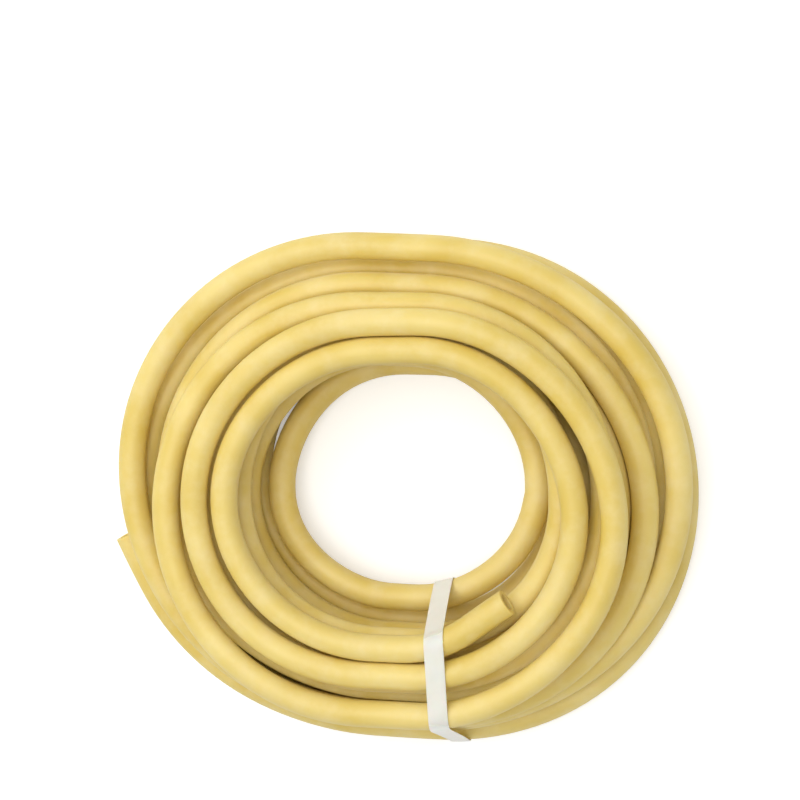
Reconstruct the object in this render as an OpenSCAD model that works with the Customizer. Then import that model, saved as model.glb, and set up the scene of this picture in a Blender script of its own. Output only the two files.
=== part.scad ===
// A coil of soft rubber tubing, wound by hand and held by one flat strap.
// The tube is one length, bored from end to end: it lies in flat layers, each
// wound against the one below, and climbs from layer to layer in a half turn.
// Units are millimetres. The coil lies flat, +Z is up and its long way is X.

/* [Tubing] */
// Bore of the tubing
tube_bore = 6; // [3:0.5:7]
// Wall of the tubing
tube_wall = 1.5; // [1:0.25:2]

/* [Winding] */
// Radius of the innermost turn, measured to the middle of the tube
eye_radius = 37.4; // [32:0.2:50]
// Free space between a turn and its neighbours
turn_gap = 0.3; // [0.2:0.05:1]
// Length of the straight run across the innermost turn
flat_run = 6; // [0:0.5:20]
// Growth of that straight run for each millimetre of radius
oval_growth = 0.4; // [0:0.02:0.5]
// Half turns in the bottom layer
layer_1_half_turns = 10; // [8:1:12]
// Half turns in the second layer
layer_2_half_turns = 8; // [6:1:10]
// Half turns in the third layer
layer_3_half_turns = 6; // [4:1:8]
// Half turns in the fourth layer
layer_4_half_turns = 3; // [2:1:6]
// Half turns in the top layer
layer_5_half_turns = 4; // [2:1:4]
// Sideways lean of the heap from each layer to the next
layer_lean = -0.75; // [-0.8:0.05:0.8]

/* [Tube ends] */
// How far round its last bend the outer end stops short of the front
outer_end_angle = 62; // [40:1:80]
// Length of the straight outer end
outer_end_length = 20; // [12:1:30]
// Radius of the bend that leads to the inner end
inner_end_bend = 38; // [34:1:42]
// How far round that bend the inner end goes
inner_end_angle = 36; // [20:1:60]
// Length of the straight inner end
inner_end_length = 16; // [12:1:20]

/* [Strap] */
// Width of the strap
strap_width = 6.5; // [4:0.5:12]
// Thickness of the strap
strap_thickness = 0.35; // [0.2:0.05:0.8]
// Free space between the strap and the turns it holds
strap_gap = 0.25; // [0.2:0.05:0.5]
// Angle of the strap round the coil from the middle of its front
strap_angle = 4; // [3:1:40]

/* [Hidden] */
$fn = 96;

tube_od = tube_bore + 2 * tube_wall;
pitch = tube_od + turn_gap;
step = pitch / 2;
turn_back = 0.4 * pitch;
floor_gap = strap_thickness + strap_gap;
bend_fuller = 0.06;
mouth_flare = 0.3;

half_turns = [
    layer_1_half_turns, layer_2_half_turns, layer_3_half_turns,
    layer_4_half_turns, layer_5_half_turns
];
layers = len(half_turns);

// Layers wind inwards and outwards by turns, the bottom one inwards
function way(k) = k % 2 == 0 ? -1 : 1;
function layer_first(k) =
    k == 0 ? eye_radius + half_turns[0] * step : layer_last(k - 1) + way(k) * turn_back;
function layer_last(k) = layer_first(k) + way(k) * (half_turns[k] - 1) * step;

// The tube crosses the middle line of the coil once in each half turn: these
// are the crossings, as the layer and the distance from the centre
crossings = [
    for (k = [0:layers - 1]) each concat(
        k == 0 ? [] : [[k, layer_last(k - 1) - way(k) * step]],
        [for (i = [0:half_turns[k] - 1]) [k, layer_first(k) + way(k) * i * step]]
    )
];
last = len(crossings) - 1;

// Even crossings lie at the front and start a bend round the right-hand side
function side(j) = j % 2 == 0 ? 1 : -1;
function layer_of(j) = crossings[j][0];
function cross_y(j) = -side(j) * crossings[j][1];
function cross_z(j) = floor_gap + tube_od / 2 + layer_of(j) * pitch;
function flat_half(r) = round(50 * (flat_run + oval_growth * (r - eye_radius))) / 100;

outer_end_bend = crossings[0][1] + step / 2;

// Bends are numbered as the crossing they start from: -1 leads in from the
// outer end and the last one leads out to the inner end
function reach(j) = (cross_y(j + 1) - cross_y(j)) / 2;
function bend_r(j) = j < 0 ? outer_end_bend : j == last ? inner_end_bend : abs(reach(j));
function lean(j) = layer_lean * (j < 0 ? 0 : (layer_of(j) + layer_of(min(j + 1, last))) / 2);
function bend_x(j) = side(j) * flat_half(bend_r(j)) + lean(j);
function bend_y(j) =
    j < 0 ? cross_y(0) + outer_end_bend
    : j == last ? cross_y(last) + side(last) * inner_end_bend
    : (cross_y(j) + cross_y(j + 1)) / 2;
function climb(j) = j < 0 || j == last ? 0 : cross_z(j + 1) - cross_z(j);

// The heap is centred by its own outline
bends = [for (j = [0:last - 1]) j];
outer_tip_x = bend_x(-1) - outer_end_bend * sin(outer_end_angle)
    - outer_end_length * cos(outer_end_angle) - tube_od / 2 * sin(outer_end_angle);
right_reach = max([for (j = bends) if (side(j) > 0) bend_x(j) + bend_r(j)]) + tube_od / 2;
left_reach = min([for (j = bends) if (side(j) < 0) bend_x(j) - bend_r(j)]) - tube_od / 2;
back_reach = max([for (j = bends) cross_y(j)]) + tube_od / 2;
front_reach = min([for (j = bends) cross_y(j)]) - tube_od / 2;
centre_x = (right_reach + min(left_reach, outer_tip_x)) / 2;
centre_y = (back_reach + front_reach - floor_gap) / 2;

// The strap stands in one upright plane through the axis of the front bends
strap_x = bend_x(0);
strap_way = [sin(strap_angle), -cos(strap_angle)];
strapped = [for (j = [0:last]) if (side(j) > 0) j];
function strap_reach(j) =
    let (w = [strap_x - bend_x(j), -bend_y(j)], a = w * strap_way)
    sqrt(a * a - w * w + bend_r(j) * bend_r(j)) - a;

// The wall is a hair fuller on the climbs and on the bends next to the two ends,
// so that each of these bends meets its straight runs in a clean step
module tube_section(fuller = 0) {
    difference() {
        circle(d = tube_od + fuller);
        circle(d = tube_bore - fuller);
    }
}

module tube_run(length) {
    linear_extrude(length) tube_section();
}

// A cut end is a straight run whose bore opens a little at the mouth
module tube_tip(length) {
    difference() {
        tube_run(length);
        translate([0, 0, length - 2 * mouth_flare])
            cylinder(
                d1 = tube_bore - 2 * mouth_flare,
                d2 = tube_bore + 4 * mouth_flare,
                h = 3 * mouth_flare
            );
    }
}

module tube_bend(radius, angle, fuller = 0) {
    rotate_extrude(angle = angle) translate([radius, 0]) tube_section(fuller);
}

// One half turn, tilted where it climbs, with the straight run that follows it
module half_turn(j) {
    rise = climb(j);
    translate([bend_x(j), bend_y(j), cross_z(j) + rise / 2])
        rotate([side(j) * atan2(rise, 2 * bend_r(j)), 0, 0]) rotate(-90 * side(j))
            tube_bend(norm([2 * bend_r(j), rise]) / 2, 180, rise > 0 ? bend_fuller : 0);
    translate([bend_x(j), cross_y(j + 1), cross_z(j + 1)])
        rotate([0, -90 * side(j), 0])
            tube_run(side(j) * (bend_x(j) - bend_x(j + 1)));
}

module layer_turns(k) {
    for (j = bends) if (layer_of(j) == k) half_turn(j);
}

module outer_end() {
    translate([bend_x(-1), bend_y(-1), cross_z(0)]) rotate(-90 - outer_end_angle) {
        tube_bend(outer_end_bend, outer_end_angle, bend_fuller);
        translate([outer_end_bend, 0, 0]) rotate([90, 0, 0]) tube_tip(outer_end_length);
    }
    translate([bend_x(-1), cross_y(0), cross_z(0)])
        rotate([0, 90, 0]) tube_run(bend_x(0) - bend_x(-1));
}

module inner_end() {
    translate([bend_x(last), bend_y(last), cross_z(last)]) rotate(-90 * side(last)) {
        tube_bend(inner_end_bend, inner_end_angle, bend_fuller);
        rotate(inner_end_angle) translate([inner_end_bend, 0, 0])
            rotate([-90, 0, 0]) tube_tip(inner_end_length);
    }
}

module rubber_tubing() {
    color([0.9, 0.8, 0.45]) translate([-centre_x, -centre_y, 0]) {
        outer_end();
        for (k = [0:layers - 1]) layer_turns(k);
        inner_end();
    }
}

module bundle_outline(clearance) {
    hull() for (j = strapped)
        translate([strap_reach(j), cross_z(j)]) circle(d = tube_od + 2 * clearance, $fn = 48);
}

module strap() {
    color([0.93, 0.94, 0.95]) translate([strap_x - centre_x, -centre_y, 0])
        rotate([90, 0, strap_angle - 90]) linear_extrude(strap_width, center = true)
            difference() {
                bundle_outline(strap_gap + strap_thickness);
                bundle_outline(strap_gap);
            }
}

rubber_tubing();
strap();
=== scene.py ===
import math

import bpy
import numpy as np
from mathutils import Matrix, Vector


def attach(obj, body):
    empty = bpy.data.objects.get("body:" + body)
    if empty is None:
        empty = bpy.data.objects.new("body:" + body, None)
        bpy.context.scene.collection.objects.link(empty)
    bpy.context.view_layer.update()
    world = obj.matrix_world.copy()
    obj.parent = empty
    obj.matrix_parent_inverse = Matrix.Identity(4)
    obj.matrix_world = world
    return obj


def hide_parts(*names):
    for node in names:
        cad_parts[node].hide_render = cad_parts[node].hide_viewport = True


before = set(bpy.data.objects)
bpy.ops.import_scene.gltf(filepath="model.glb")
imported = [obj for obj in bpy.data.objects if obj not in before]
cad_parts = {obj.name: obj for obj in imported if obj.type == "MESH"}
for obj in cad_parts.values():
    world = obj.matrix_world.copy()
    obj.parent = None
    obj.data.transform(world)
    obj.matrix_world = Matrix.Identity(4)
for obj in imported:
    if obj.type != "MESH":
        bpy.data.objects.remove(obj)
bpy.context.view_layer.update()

mm = 0.001


# Camera: it stands above the coil, a little towards its back and right
cameraSetup = {
    "target": (2.0, 0.0, 20.0),       # mm, a point in the eye of the coil
    "towardsBack": 10.0,              # degrees off the upright
    "towardsRight": 10.0,
    "distance": 900.0,                # mm
    "pixelsPerMm": 3.0,               # at the target
    "targetPixel": (401.0, 493.0),    # where the target falls in the picture
    "pictureSide": 800.0,
    "sensor": 36.0,                   # mm
    "nearest": 0.01,                  # m, the span that it draws
    "furthest": 20.0,
}


def placeCamera(setup):
    # The view line leans by two angles, and the camera turns a little off the
    # target so that the target falls on its pixel without any shift
    leans = [math.tan(math.radians(setup[key])) for key in ("towardsRight", "towardsBack")]
    lean = Vector((*leans, 1.0)).normalized()
    pictureUp = Vector((0, 1, 0))
    target = Vector(setup["target"]) * mm
    place = target + lean * setup["distance"] * mm
    right = (-lean).cross(pictureUp).normalized()
    up = right.cross(-lean)
    offX = (setup["pictureSide"] / 2 - setup["targetPixel"][0]) / setup["pixelsPerMm"] * mm
    offY = (setup["targetPixel"][1] - setup["pictureSide"] / 2) / setup["pixelsPerMm"] * mm
    forward = (target + right * offX + up * offY - place).normalized()
    lens = bpy.data.cameras.new("coilCamera")
    lens.sensor_width = setup["sensor"]
    lens.lens = setup["distance"] * setup["pixelsPerMm"] / setup["pictureSide"] * setup["sensor"]
    lens.clip_start, lens.clip_end = setup["nearest"], setup["furthest"]
    camera = bpy.data.objects.new("coilCamera", lens)
    bpy.context.collection.objects.link(camera)
    camera.location = place
    across = forward.cross(pictureUp).normalized()
    facing = Matrix((across, across.cross(forward), -forward)).transposed()
    camera.rotation_euler = facing.to_euler()
    bpy.context.scene.camera = camera


placeCamera(cameraSetup)
print("camera placed")


# The winding: the route is worked out as in the part's source, in millimetres
winding = {
    "bore": 6.0,
    "wall": 1.5,
    "eyeRadius": 37.4,
    "turnGap": 0.3,
    "flatRun": 6.0,
    "ovalGrowth": 0.4,
    "halfTurns": (10, 8, 6, 3, 4),    # layer by layer, from the floor up
    "turnBack": 0.4,                  # share of a pitch between one layer's last turn and the next
    "layerLean": -0.75,
    "outerEndAngle": 62.0,            # degrees
    "outerEndLength": 20.0,
    "innerEndBend": 38.0,
    "innerEndAngle": 36.0,            # degrees
    "innerEndLength": 16.0,
    "strapThickness": 0.35,
    "strapGap": 0.25,
    "routeStep": 0.5,                 # from one point of the route to the next
}


def placesAlong(points):
    # How far along the line each of its points lies
    return np.concatenate([[0], np.cumsum(np.linalg.norm(np.diff(points, axis=0), axis=1))])


def resample(values, along, at):
    return np.stack([np.interp(at, along, values[:, k]) for k in range(values.shape[1])], 1)


def sideOf(crossing):
    # Even crossings lie at the front and start a bend round the right-hand side
    return 1 if crossing % 2 == 0 else -1


def layerCrossings(plan):
    # One row a crossing of the middle line: its layer and its distance from the
    # centre. Each layer steps by half a pitch, and the next one steps back.
    half = (plan["bore"] + 2 * plan["wall"] + plan["turnGap"]) / 2
    rows, reached = [], None
    for layer, count in enumerate(plan["halfTurns"]):
        way = -1 if layer % 2 == 0 else 1
        if layer == 0:
            first = plan["eyeRadius"] + count * half
        else:
            rows.append((layer, reached - way * half))
            first = reached + way * plan["turnBack"] * 2 * half
        rows += [(layer, first + way * i * half) for i in range(count)]
        reached = first + way * (count - 1) * half
    return rows, half


def bendPoints(x, y, heights, radius, fromAngle, turn, step):
    # An arc round (x, y). Where it climbs, its height follows half a cosine.
    count = max(4, int(math.radians(turn) * radius / step))
    a = np.radians(np.linspace(fromAngle, fromAngle + turn, count))
    height = heights[0] + (1 - np.cos(a - a[0])) / 2 * (heights[1] - heights[0])
    return np.stack([x + radius * np.cos(a), y + radius * np.sin(a), height], 1)


def runPoints(a, b, step):
    return np.linspace(a, b, max(2, int(math.dist(a, b) / step)))


def coilRoute(plan):
    # Half turns joined by straight runs: a bend goes round the middle of two
    # crossings and is numbered as the first of them, -1 leads in from the outer end
    # and the last one leads out to the inner end. Returns the points, evenly spaced,
    # for each one its layer as a smooth number and its place along the tube, and
    # the place that the strap goes through.
    rows, half = layerCrossings(plan)
    last, step = len(rows) - 1, plan["routeStep"]
    tubeRadius = (plan["bore"] + 2 * plan["wall"]) / 2
    floorGap = plan["strapThickness"] + plan["strapGap"]
    y = [-sideOf(j) * rows[j][1] for j in range(last + 1)]
    z = [floorGap + tubeRadius + layer * 2 * half for layer, distance in rows]
    outBend = rows[0][1] + half / 2

    def flatHalf(radius):
        # Rounded to a hundredth, as in the part's source
        grown = plan["flatRun"] + plan["ovalGrowth"] * (radius - plan["eyeRadius"])
        return math.floor(50 * grown + 0.5) / 100

    def bendRadius(j):
        if j < 0:
            return outBend
        return plan["innerEndBend"] if j == last else abs(y[j + 1] - y[j]) / 2

    def bendX(j):
        layers = 0 if j < 0 else rows[j][0] + rows[min(j + 1, last)][0]
        return sideOf(j) * flatHalf(bendRadius(j)) + plan["layerLean"] * layers / 2

    fromAngle = 270 - plan["outerEndAngle"]
    lead = math.radians(fromAngle)
    heading = np.array([-math.sin(lead), math.cos(lead), 0])
    joint = np.array([bendX(-1) + outBend * math.cos(lead),
                      y[0] + outBend + outBend * math.sin(lead), z[0]])
    parts = [runPoints(joint - heading * plan["outerEndLength"], joint, step),
             bendPoints(bendX(-1), y[0] + outBend, (z[0], z[0]), outBend, fromAngle,
                        plan["outerEndAngle"], step),
             runPoints((bendX(-1), y[0], z[0]), (bendX(0), y[0], z[0]), step)]
    for j in range(last):
        arrives = (bendX(j), y[j + 1], z[j + 1])
        leaves = (bendX(j + 1), y[j + 1], z[j + 1])
        parts.append(bendPoints(bendX(j), (y[j] + y[j + 1]) / 2, (z[j], z[j + 1]),
                                bendRadius(j), -90 * sideOf(j), 180, step))
        parts.append(runPoints(arrives, leaves, step))
    parts.append(bendPoints(bendX(last), y[last] + sideOf(last) * plan["innerEndBend"],
                            (z[last], z[last]), plan["innerEndBend"], -90 * sideOf(last),
                            plan["innerEndAngle"], step))
    lead = math.radians(plan["innerEndAngle"] - 90 * sideOf(last))
    heading = np.array([-math.sin(lead), math.cos(lead), 0])
    joint = parts[-1][-1]
    parts.append(runPoints(joint, joint + heading * plan["innerEndLength"], step))

    # The heap is centred by its own outline
    endTurn = math.radians(plan["outerEndAngle"])
    outerTip = (bendX(-1) - outBend * math.sin(endTurn) - tubeRadius * math.sin(endTurn)
                - plan["outerEndLength"] * math.cos(endTurn))
    right = max(bendX(j) + bendRadius(j) for j in range(0, last, 2)) + tubeRadius
    left = min(bendX(j) - bendRadius(j) for j in range(1, last, 2)) - tubeRadius
    centre = np.array([(right + min(left, outerTip)) / 2,
                       (max(y[:last]) + min(y[:last]) - floorGap) / 2, 0])
    points = np.concatenate(parts) - centre
    along = placesAlong(points)
    even = np.linspace(0, along[-1], int(along[-1] / step))
    points = resample(points, along, even)
    level = (points[:, 2] - z[0]) / (2 * half)
    return points, level, even, np.array([bendX(0), 0, 0]) - centre


tightRoute, routeLevel, routeAlong, strapPlace = coilRoute(winding)
print("route of", round(routeAlong[-1] / 1000, 3), "m,", len(tightRoute), "points")


# Hand winding: no two layers lie quite alike. In millimetres, layer by layer.
handWinding = {
    "shiftX": (0.0, -1.5, 0.0, 1.0, 2.0),
    "shiftY": (0.0, 0.0, -1.0, -1.5, -2.0),
    "eyeShift": (3.0, 1.8, 2.7, 1.5, 1.5),            # to the right, next to the eye
    "eyeShiftReach": 90.0,            # from the centre to where that shift has faded out
    "eyeShiftFade": 50.0,             # how far it takes to fade
    "oval": (0.004, -0.006, 0.008, -0.006, 0.010),    # share squeezed one way, spread the other
    "ovalAngle": (20.0, 65.0, -30.0, 40.0, 10.0),     # degrees
    "lobes": (0.6, 0.7, 0.7, 0.6, 0.9),               # size of the waves in the turns
    "lobeCounts": (2, 3, 4),          # waves to a turn, smaller the more there are
    "gather": 0.8,                    # how far turns at the two sides bunch together or part
    "gatherPitch": 27.0,              # from one bunch to the next
    "gatherCurve": (0.9, 0.4),        # radians, how far and from where the bunches sway
    "gatherStep": -1.2,               # radians from the bunches of one layer to the next one's
    "settle": 0.6,                    # the coil's height off the floor where the strap is
    "strapHold": 34.0,                # how far the strap keeps the turns in order
    "seed": 11,
}


def windByHand(points, level, strapAt, hand):
    # Each layer is shifted, and its inner turns use the room between the ovals to
    # lie further right. It is drawn into a slightly different oval and given low
    # waves that its turns share, so that turns of a layer never close up. At the
    # coil's two sides turns bunch and part with their distance from the eye. The
    # ovals, waves and bunches fade near the strap, and away from it the coil
    # settles onto the floor. The strap is at the front, so all of the back is free.
    rng = np.random.default_rng(hand["seed"])
    layers = np.arange(len(hand["shiftX"]))
    phases = rng.uniform(0, 2 * np.pi, (len(layers), len(hand["lobeCounts"])))
    at = {key: np.interp(level, layers, hand[key])
          for key in ("shiftX", "shiftY", "eyeShift", "oval", "ovalAngle", "lobes")}
    x, y = points[:, 0], points[:, 1]
    angle, radius = np.arctan2(y, x), np.hypot(x, y)
    toStrap = np.where(y > 0, np.inf, np.abs(x - strapAt[0]))
    free = 1 - np.exp(-(toStrap / hand["strapHold"]) ** 2)
    turned = 2 * np.radians(at["ovalAngle"])
    ovalX = at["oval"] * (np.cos(turned) * x + np.sin(turned) * y)
    ovalY = at["oval"] * (np.sin(turned) * x - np.cos(turned) * y)
    waves = sum(np.cos(count * angle + np.interp(level, layers, phases[:, k])) / (count - 0.5)
                for k, count in enumerate(hand["lobeCounts"]))
    sway, swayFrom = hand["gatherCurve"]
    bunch = np.sin(2 * np.pi * radius / hand["gatherPitch"] + sway * np.sin(angle + swayFrom)
                   + hand["gatherStep"] * level) * np.cos(angle) ** 2
    spread = at["lobes"] * waves + hand["gather"] * bunch
    nextToEye = np.clip((hand["eyeShiftReach"] - radius) / hand["eyeShiftFade"], 0, 1)
    moved = points.copy()
    moved[:, 0] += at["shiftX"] + at["eyeShift"] * nextToEye
    moved[:, 1] += at["shiftY"]
    moved[:, 0] += free * (ovalX + spread * np.cos(angle))
    moved[:, 1] += free * (ovalY + spread * np.sin(angle))
    moved[:, 2] -= free * hand["settle"]
    return moved


route = windByHand(tightRoute, routeLevel, strapPlace, handWinding)


# Rubber tubing, in millimetres. A rim goes by its distance from the cut and how
# far it is off the wall's radius.
tubing = {
    "outerRadius": 4.5,
    "boreRadius": 3.0,
    "ringSpacing": 3.5,
    "boreSpacing": 10.0,
    "outsideFrom": 1.5,               # from a cut to the first even ring of the outside
    "boreFrom": 3.0,                  # and of the bore
    "outerRim": ((0.40, 0.0), (0.12, -0.05), (0.02, -0.16), (0.0, -0.32)),
    "boreRim": ((0.0, 0.25), (0.02, 0.1), (0.12, 0.02), (0.40, 0.0)),
    "sides": 26,
    "unevenness": 0.03,               # how far the drawn wall strays from round
    "unevenWaves": ((1.0, 47.0, 2, 0.0), (0.6, 19.0, 3, 1.0), (0.4, 8.3, 1, 0.0)),
    "evenBelow": 3.2,                 # a smaller radius, as the bore's, stays round
    "cutSlant": 0.25,                 # a hand-cut end isn't quite square
    "slantTowards": 0.9,              # radians round the tube
    "slantFade": 1.5,
}


def tubeRows(sizes, length):
    # Rows of the section from the first cut along the outside to the second cut,
    # over its rim and back along the bore: place along the tube and radius
    outer, bore = sizes["outerRadius"], sizes["boreRadius"]
    rim = np.array([(place, outer + off) for place, off in sizes["outerRim"]]
                   + [(place, bore + off) for place, off in sizes["boreRim"]])
    outside = np.linspace(sizes["outsideFrom"], length - sizes["outsideFrom"],
                          int(length / sizes["ringSpacing"]))
    inside = np.linspace(length - sizes["boreFrom"], sizes["boreFrom"],
                         int(length / sizes["boreSpacing"]))
    farRim = rim.copy()
    farRim[:, 0] = length - farRim[:, 0]
    return np.concatenate([np.stack([outside, np.full(len(outside), outer)], 1), farRim,
                           np.stack([inside, np.full(len(inside), bore)], 1), rim[::-1]])


def unitRows(vectors):
    return vectors / np.linalg.norm(vectors, axis=1)[:, None]


def sweepTube(points, along, sizes):
    # The section goes along the route: each ring is centre + radius * (cos a *
    # sideways + sin a * upwards), where sideways lies level across the tangent.
    # Long soft waves keep it from being a perfect round, each with its size, its
    # length over 2 pi, its count round the tube and its start. The cuts lean.
    length = along[-1]
    rows = tubeRows(sizes, length)
    tangent = unitRows(np.gradient(points, along, axis=0))
    a = np.linspace(0, 2 * np.pi, sizes["sides"], endpoint=False)[None, :]
    s, radius = rows[:, :1], rows[:, 1:]
    centre = resample(points, along, rows[:, 0])
    heading = unitRows(resample(tangent, along, rows[:, 0]))
    sideways = unitRows(np.cross(heading, (0, 0, 1.0)))
    upwards = np.cross(sideways, heading)
    grow = sizes["unevenness"] * sum(size * np.sin(s / stretch + count * a + start)
                                     for size, stretch, count, start in sizes["unevenWaves"])
    r = radius + grow * np.clip(radius - sizes["evenBelow"], 0, 1)
    slant = (sizes["cutSlant"] * np.cos(a - sizes["slantTowards"])
             * np.exp(-np.minimum(s, length - s) / sizes["slantFade"])
             * np.where(s < length / 2, 1, -1))
    acrossPart, upPart = r * np.cos(a), r * np.sin(a)
    ring = (centre[:, None, :] + acrossPart[..., None] * sideways[:, None, :]
            + upPart[..., None] * upwards[:, None, :] + slant[..., None] * heading[:, None, :])
    return ring, np.stack(np.broadcast_arrays(acrossPart, upPart, s), 2)


def ringFaces(rows, sides):
    # Quads between each row of a grid and the next, the last row meeting the first
    i = np.arange(rows)[:, None]
    k = np.arange(sides)[None, :]
    nextRow, nextSide = (i + 1) % rows, (k + 1) % sides
    return np.stack([i * sides + k, i * sides + nextSide, nextRow * sides + nextSide,
                     nextRow * sides + k], 2).reshape(-1, 4)


def meshPiece(name, vertices, faces):
    mesh = bpy.data.meshes.new(name)
    mesh.vertices.add(len(vertices))
    mesh.vertices.foreach_set("co", np.ascontiguousarray(vertices, dtype=np.float32).ravel())
    mesh.loops.add(faces.size)
    mesh.loops.foreach_set("vertex_index", np.ascontiguousarray(faces, dtype=np.int32).ravel())
    mesh.polygons.add(len(faces))
    mesh.polygons.foreach_set("loop_start",
                              np.arange(0, faces.size, faces.shape[1], dtype=np.int32))
    mesh.polygons.foreach_set("use_smooth", np.ones(len(faces), dtype=bool))
    mesh.update(calc_edges=True)
    mesh.validate()
    piece = bpy.data.objects.new(name, mesh)
    bpy.context.collection.objects.link(piece)
    return piece


def vectorAttribute(piece, name, values):
    layer = piece.data.attributes.new(name, "FLOAT_VECTOR", "POINT")
    layer.data.foreach_set("vector", np.ascontiguousarray(values, dtype=np.float32).ravel())


rings, straightRings = sweepTube(route, routeAlong, tubing)
tube = meshPiece("rubberTube", rings.reshape(-1, 3) * mm, ringFaces(*rings.shape[:2]))
vectorAttribute(tube, "straightTube", straightRings.reshape(-1, 3) * mm)
print("tube of", len(tube.data.polygons), "faces")


# Strap: one closed band of film, pulled tight round the turns, in millimetres
strap = {
    "width": 6.5,
    "thickness": 0.35,
    "clearance": 0.25,
    "angle": 4.0,                     # degrees round from the middle of the front
    "spacing": 1.2,
    "loopSteps": 2880,                # directions in which a tight loop is looked for
    "leastAcross": 0.5,               # of a turn's heading, so that no ellipse grows too long
    "wander": 0.35,                   # how far its edges stray sideways
    "wanderWaves": ((1.0, 1, 0.6), (0.5, 3, 0.0)),    # each with its size, count and start
    "edgeRadius": 0.12,
    "edgeSoft": 0.3,                  # share of that radius cut off in the middle of the round
}


def tightLoop(points, tangent, place, forward, beside, aside, radius, sizes):
    # An upright plane, that far to the side of the band's middle, cuts the turns in
    # ellipses: half axes across = radius / cos(slant) and radius. The loop is tight
    # round them. For each direction d the ellipse with the largest centre . d + size
    # gives its point, where size is the root of (across * d.x)^2 + (radius * d.y)^2:
    # centre + (across^2 * d.x, radius^2 * d.y) / size.
    side, reach = (points - place) @ beside - aside, (points - place) @ forward
    hit = np.nonzero((side[:-1] * side[1:] <= 0) & (reach[:-1] > 0))[0]
    part = (side[hit] / (side[hit] - side[hit + 1]))[:, None]
    flat = np.stack([reach, points[:, 2]], 1)
    centre = flat[hit] * (1 - part) + flat[hit + 1] * part
    across = radius / np.maximum(np.abs(tangent[hit] @ beside), sizes["leastAcross"])
    a = np.linspace(0, 2 * np.pi, sizes["loopSteps"] + 1)
    direction = np.stack([np.cos(a), np.sin(a)], 1)
    size = np.hypot(across * direction[:, :1], radius * direction[:, 1:])
    furthest = np.argmax(direction @ centre.T + size, 1)
    fromCentre = np.stack([across[furthest] ** 2 * direction[:, 0],
                           radius ** 2 * direction[:, 1]], 1)
    loop = centre[furthest] + fromCentre / size[np.arange(len(a)), furthest][:, None]
    return np.hstack([loop, direction]), placesAlong(loop)


def strapRails(points, place, sizes, tubeRadius):
    # Both edges of the band and its middle line are tight loops of their own, each
    # cut into the same number of even steps
    facing = math.radians(sizes["angle"])
    forward = np.array([math.sin(facing), -math.cos(facing), 0])
    beside = np.array([-forward[1], forward[0], 0])
    tangent = unitRows(np.gradient(points, axis=0))
    loops = [tightLoop(points, tangent, place, forward, beside, aside,
                       tubeRadius + sizes["clearance"], sizes)
             for aside in (-sizes["width"] / 2, 0.0, sizes["width"] / 2)]
    count = int(loops[0][1][-1] / sizes["spacing"])
    rails = []
    for loop, travelled in loops:
        even = np.linspace(0, travelled[-1], count, endpoint=False)
        rails.append(resample(loop, travelled, even))
    return np.stack(rails), even, forward, beside


def bandSection(sizes):
    # A thin flat section with round edges, from the left of its inner face round to
    # where it started: sideways, and outwards through the film
    half, thick, edge = sizes["width"] / 2, sizes["thickness"], sizes["edgeRadius"]
    soft = edge * sizes["edgeSoft"]
    innerEdge = np.array([(half - edge, 0), (half - soft, soft), (half, edge)])
    outerEdge = innerEdge[::-1] * (1, -1) + (0, thick)
    outerFace = [(half / 2, thick), (0, thick), (-half / 2, thick)]
    return np.concatenate([[(edge - half, 0), (0, 0)], innerEdge, outerEdge, outerFace,
                           outerEdge[::-1] * (-1, 1), innerEdge[:0:-1] * (-1, 1)])


def strapBand(rails, even, forward, beside, place, sizes):
    # The section goes along the rails. Across the width the band is the parabola
    # through them, middle + t * (right - left) / 2 + t^2 * (right + left - 2 *
    # middle) / 2, and it strays sideways in slow waves.
    section = bandSection(sizes)
    turns = even / even[-1] * 2 * np.pi
    wander = sizes["wander"] * sum(size * np.sin(count * turns + start)
                                   for size, count, start in sizes["wanderWaves"])
    u = section[None, :, 0] + wander[:, None]
    v = section[None, :, 1]
    left, middle, right = rails[:, :, None, :]
    t = (u / (sizes["width"] / 2))[..., None]
    lies = middle + t * (right - left) / 2 + t ** 2 * (right + left - 2 * middle) / 2
    outward = lies[..., 2:] / np.linalg.norm(lies[..., 2:], axis=-1)[..., None]
    flat = lies[..., :2] + v[..., None] * outward
    grid = (place + flat[..., :1] * forward + u[..., None] * beside
            + flat[..., 1:] * np.array([0, 0, 1.0]))
    return grid, np.stack(np.broadcast_arrays(section[None, :, 0], v, even[:, None]), 2)


rails, railAlong, strapForward, strapBeside = strapRails(route, strapPlace, strap,
                                                         tubing["outerRadius"])
bandGrid, bandFlat = strapBand(rails, railAlong, strapForward, strapBeside, strapPlace, strap)
band = meshPiece("filmStrap", bandGrid.reshape(-1, 3) * mm, ringFaces(*bandGrid.shape[:2]))
vectorAttribute(band, "flatBand", bandFlat.reshape(-1, 3) * mm)
print("strap of", len(band.data.polygons), "faces")


def toLinear(hexColour):
    # sRGB hex to linear
    values = [int(hexColour[i:i + 2], 16) / 255 for i in (1, 3, 5)]
    return tuple(v / 12.92 if v <= 0.04045 else ((v + 0.055) / 1.055) ** 2.4
                 for v in values) + (1.0,)


def addNode(tree, kind, settings=None, values=None, links=()):
    node = tree.nodes.new(kind)
    for name, value in (settings or {}).items():
        setattr(node, name, value)
    for name, value in (values or {}).items():
        node.inputs[name].default_value = value
    for name, source in links:
        tree.links.new(source, node.inputs[name])
    return node


def addNoise(tree, vector, scale, detail, roughness=0.5):
    values = {"Scale": scale, "Detail": detail, "Roughness": roughness}
    return addNode(tree, "ShaderNodeTexNoise", {}, values, [("Vector", vector)]).outputs["Fac"]


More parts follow.
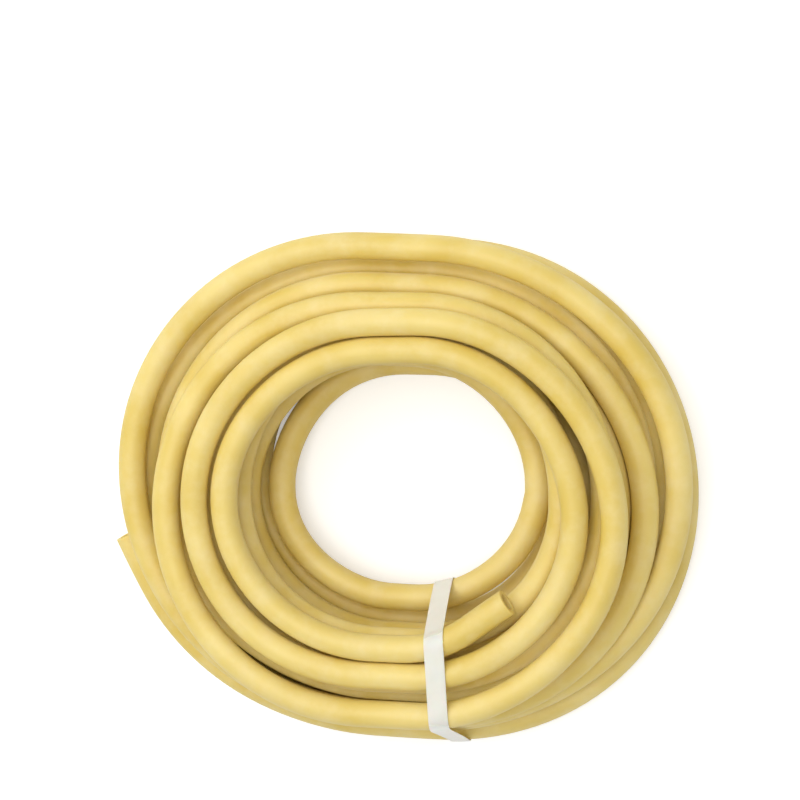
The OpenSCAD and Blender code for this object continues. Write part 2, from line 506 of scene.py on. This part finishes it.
def addDrawnNoise(tree, vector, scales, detail, roughness=0.5):
    # Noise that is stretched along the piece, with one scale for each direction
    drawn = addNode(tree, "ShaderNodeMapping", {"vector_type": "POINT"}, {"Scale": scales},
                    [("Vector", vector)])
    return addNoise(tree, drawn.outputs["Vector"], 1.0, detail, roughness)


def addRange(tree, value, span, onto):
    values = {"From Min": span[0], "From Max": span[1], "To Min": onto[0], "To Max": onto[1]}
    return addNode(tree, "ShaderNodeMapRange", {}, values, [("Value", value)]).outputs["Result"]


def addMix(tree, share, first, second):
    # Each colour is a hex value or another node's output
    node = addNode(tree, "ShaderNodeMix", {"data_type": "RGBA"}, {}, [("Factor", share)])
    for socket, colour in ((node.inputs[6], first), (node.inputs[7], second)):
        if isinstance(colour, str):
            socket.default_value = toLinear(colour)
        else:
            tree.links.new(colour, socket)
    return node.outputs[2]


def addBump(tree, height, bump, under=None):
    # A bump is its strength and its depth in millimetres
    links = [("Height", height)] + ([("Normal", under)] if under else [])
    return addNode(tree, "ShaderNodeBump", {}, {"Strength": bump[0], "Distance": bump[1] * mm},
                   links).outputs["Normal"]


def newMaterial(name):
    material = bpy.data.materials.new(name)
    material.use_nodes = True
    tree = material.node_tree
    tree.nodes.clear()
    return material, tree, addNode(tree, "ShaderNodeOutputMaterial")


# Natural latex, drawn through a die and dusted with talc: an amber rubber that
# lets a little light through its wall, with a broad soft shine, faint lines along
# its length and a pale bloom that is thicker in some places. Each span is two
# values of its noise, between which the look changes.
latex = {
    "amber": "#DDC261",
    "pale": "#E8D17E",
    "bloom": "#EEDFAE",
    "cloud": 28.0,                    # mm, size of the pale clouds
    "cloudSpan": (0.35, 0.65),
    "bloomPatch": 9.0,                # mm
    "bloomSpan": (0.42, 0.75),
    "bloomShare": (0.0, 0.35),
    "roughSpan": (0.3, 0.7),
    "roughness": (0.40, 0.56),
    "lineAcross": 0.55,               # mm between the die's lines, drawn coarser than real ones
    "lineAlong": 70.0,                # mm, their length
    "lineBump": (0.35, 0.05),
    "grain": 0.45,                    # mm, talc grains
    "grainBump": (0.3, 0.03),
    "shader": {"IOR": 1.52, "Subsurface Weight": 0.3, "Subsurface Scale": 1.6 * mm,
               "Subsurface Radius": (1.0, 0.8, 0.4)},
}


def latexMaterial(look):
    material, tree, output = newMaterial("naturalLatex")
    place = addNode(tree, "ShaderNodeTexCoord").outputs["Object"]
    straight = addNode(tree, "ShaderNodeAttribute",
                       {"attribute_name": "straightTube"}).outputs["Vector"]
    across, lengthways = 1 / (look["lineAcross"] * mm), 1 / (look["lineAlong"] * mm)
    clouds = addNoise(tree, place, 1 / (look["cloud"] * mm), detail=2.0)
    patches = addNoise(tree, straight, 1 / (look["bloomPatch"] * mm), detail=4.0, roughness=0.6)
    lines = addDrawnNoise(tree, straight, (across, across, lengthways), detail=3.0, roughness=0.6)
    grains = addNoise(tree, straight, 1 / (look["grain"] * mm), detail=2.0)
    cloudShare = addRange(tree, clouds, look["cloudSpan"], (0.0, 1.0))
    bloomShare = addRange(tree, patches, look["bloomSpan"], look["bloomShare"])
    roughness = addRange(tree, patches, look["roughSpan"], look["roughness"])
    colour = addMix(tree, bloomShare, addMix(tree, cloudShare, look["amber"], look["pale"]),
                    look["bloom"])
    lineBump = addBump(tree, lines, look["lineBump"])
    shader = addNode(tree, "ShaderNodeBsdfPrincipled", {}, look["shader"],
                     [("Base Color", colour), ("Roughness", roughness),
                      ("Normal", addBump(tree, grains, look["grainBump"], lineBump))])
    tree.links.new(shader.outputs[0], output.inputs["Surface"])
    return material


# Polyethylene film, blown and slit into a band: milky white, half clear, with a
# soft shine and fine ribs along it
film = {
    "milk": "#F8F6EE",
    "thin": "#EFEBDF",
    "cloud": 6.0,                     # mm
    "rib": 0.5,                       # mm between ribs
    "ribLength": 60.0,                # mm
    "ribBump": (0.4, 0.05),
    "shader": {"IOR": 1.51, "Roughness": 0.32, "Transmission Weight": 0.25,
               "Subsurface Weight": 0.2, "Subsurface Scale": 1.0 * mm},
}


def filmMaterial(look):
    material, tree, output = newMaterial("polyethyleneFilm")
    flat = addNode(tree, "ShaderNodeAttribute", {"attribute_name": "flatBand"}).outputs["Vector"]
    clouds = addNoise(tree, flat, 1 / (look["cloud"] * mm), detail=3.0)
    ribScales = (1 / (look["rib"] * mm), 0.0, 1 / (look["ribLength"] * mm))
    ribs = addDrawnNoise(tree, flat, ribScales, detail=2.0)
    shader = addNode(tree, "ShaderNodeBsdfPrincipled", {}, look["shader"],
                     [("Base Color", addMix(tree, clouds, look["thin"], look["milk"])),
                      ("Normal", addBump(tree, ribs, look["ribBump"]))])
    tree.links.new(shader.outputs[0], output.inputs["Surface"])
    return material


tube.data.materials.append(latexMaterial(latex))
band.data.materials.append(filmMaterial(film))

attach(tube, "root")
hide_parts("rubber_tubing")
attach(band, "root")
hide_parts("strap")
print("materials done")


# Studio: a white table top and soft light from all round, in metres and watts
studio = {
    "tableHalf": 1.5,
    "tableDrop": 0.0002,              # below the coil
    "white": "#F2F2F2",
    "glow": 0.34,                     # what the camera alone sees added to the table top
    "sky": 0.59,
}
lamps = {
    "overhead": {"place": (-0.15, 0.25, 1.1), "aim": (0, 0, 0), "side": 1.0, "watts": 7.5},
    "leftBack": {"place": (-0.8, 0.7, 0.7), "aim": (0, 0, 0.02), "side": 0.5, "watts": 2.6},
}


def tableMaterial(look):
    material, tree, output = newMaterial("whiteTable")
    matt = addNode(tree, "ShaderNodeBsdfDiffuse", {}, {"Color": toLinear(look["white"])})
    ray = addNode(tree, "ShaderNodeLightPath")
    strength = addNode(tree, "ShaderNodeMath", {"operation": "MULTIPLY"}, {1: look["glow"]},
                       [(0, ray.outputs["Is Camera Ray"])])
    glow = addNode(tree, "ShaderNodeEmission", {}, {"Color": (1, 1, 1, 1)},
                   [("Strength", strength.outputs[0])])
    both = addNode(tree, "ShaderNodeAddShader", {}, {},
                   [(0, matt.outputs[0]), (1, glow.outputs[0])])
    tree.links.new(both.outputs[0], output.inputs["Surface"])
    return material


def addTable(look):
    corners = np.array([(-1, -1), (1, -1), (1, 1), (-1, 1)]) * look["tableHalf"]
    vertices = np.hstack([corners, np.full((4, 1), -look["tableDrop"])])
    table = meshPiece("tableTop", vertices, np.array([(0, 1, 2, 3)]))
    table.data.materials.append(tableMaterial(look))
    return table


def addLamp(name, place, aim, side, watts):
    light = bpy.data.lights.new(name, "AREA")
    light.shape, light.size, light.energy = "SQUARE", side, watts
    lamp = bpy.data.objects.new(name, light)
    bpy.context.collection.objects.link(lamp)
    lamp.location = place
    lamp.rotation_mode = "QUATERNION"
    lamp.rotation_quaternion = (Vector(aim) - Vector(place)).to_track_quat("-Z", "Y")


def addSky(strength):
    world = bpy.data.worlds.new("studio")
    bpy.context.scene.world = world
    world.use_nodes = True
    tree = world.node_tree
    tree.nodes.clear()
    sky = addNode(tree, "ShaderNodeBackground", {}, {"Color": (1, 1, 1, 1), "Strength": strength})
    addNode(tree, "ShaderNodeOutputWorld", {}, {}, [("Surface", sky.outputs[0])])


floor = addTable(studio)
for lampName, values in lamps.items():
    addLamp(lampName, **values)
addSky(studio["sky"])
bpy.context.scene.view_settings.view_transform = "Standard"
print("studio done")
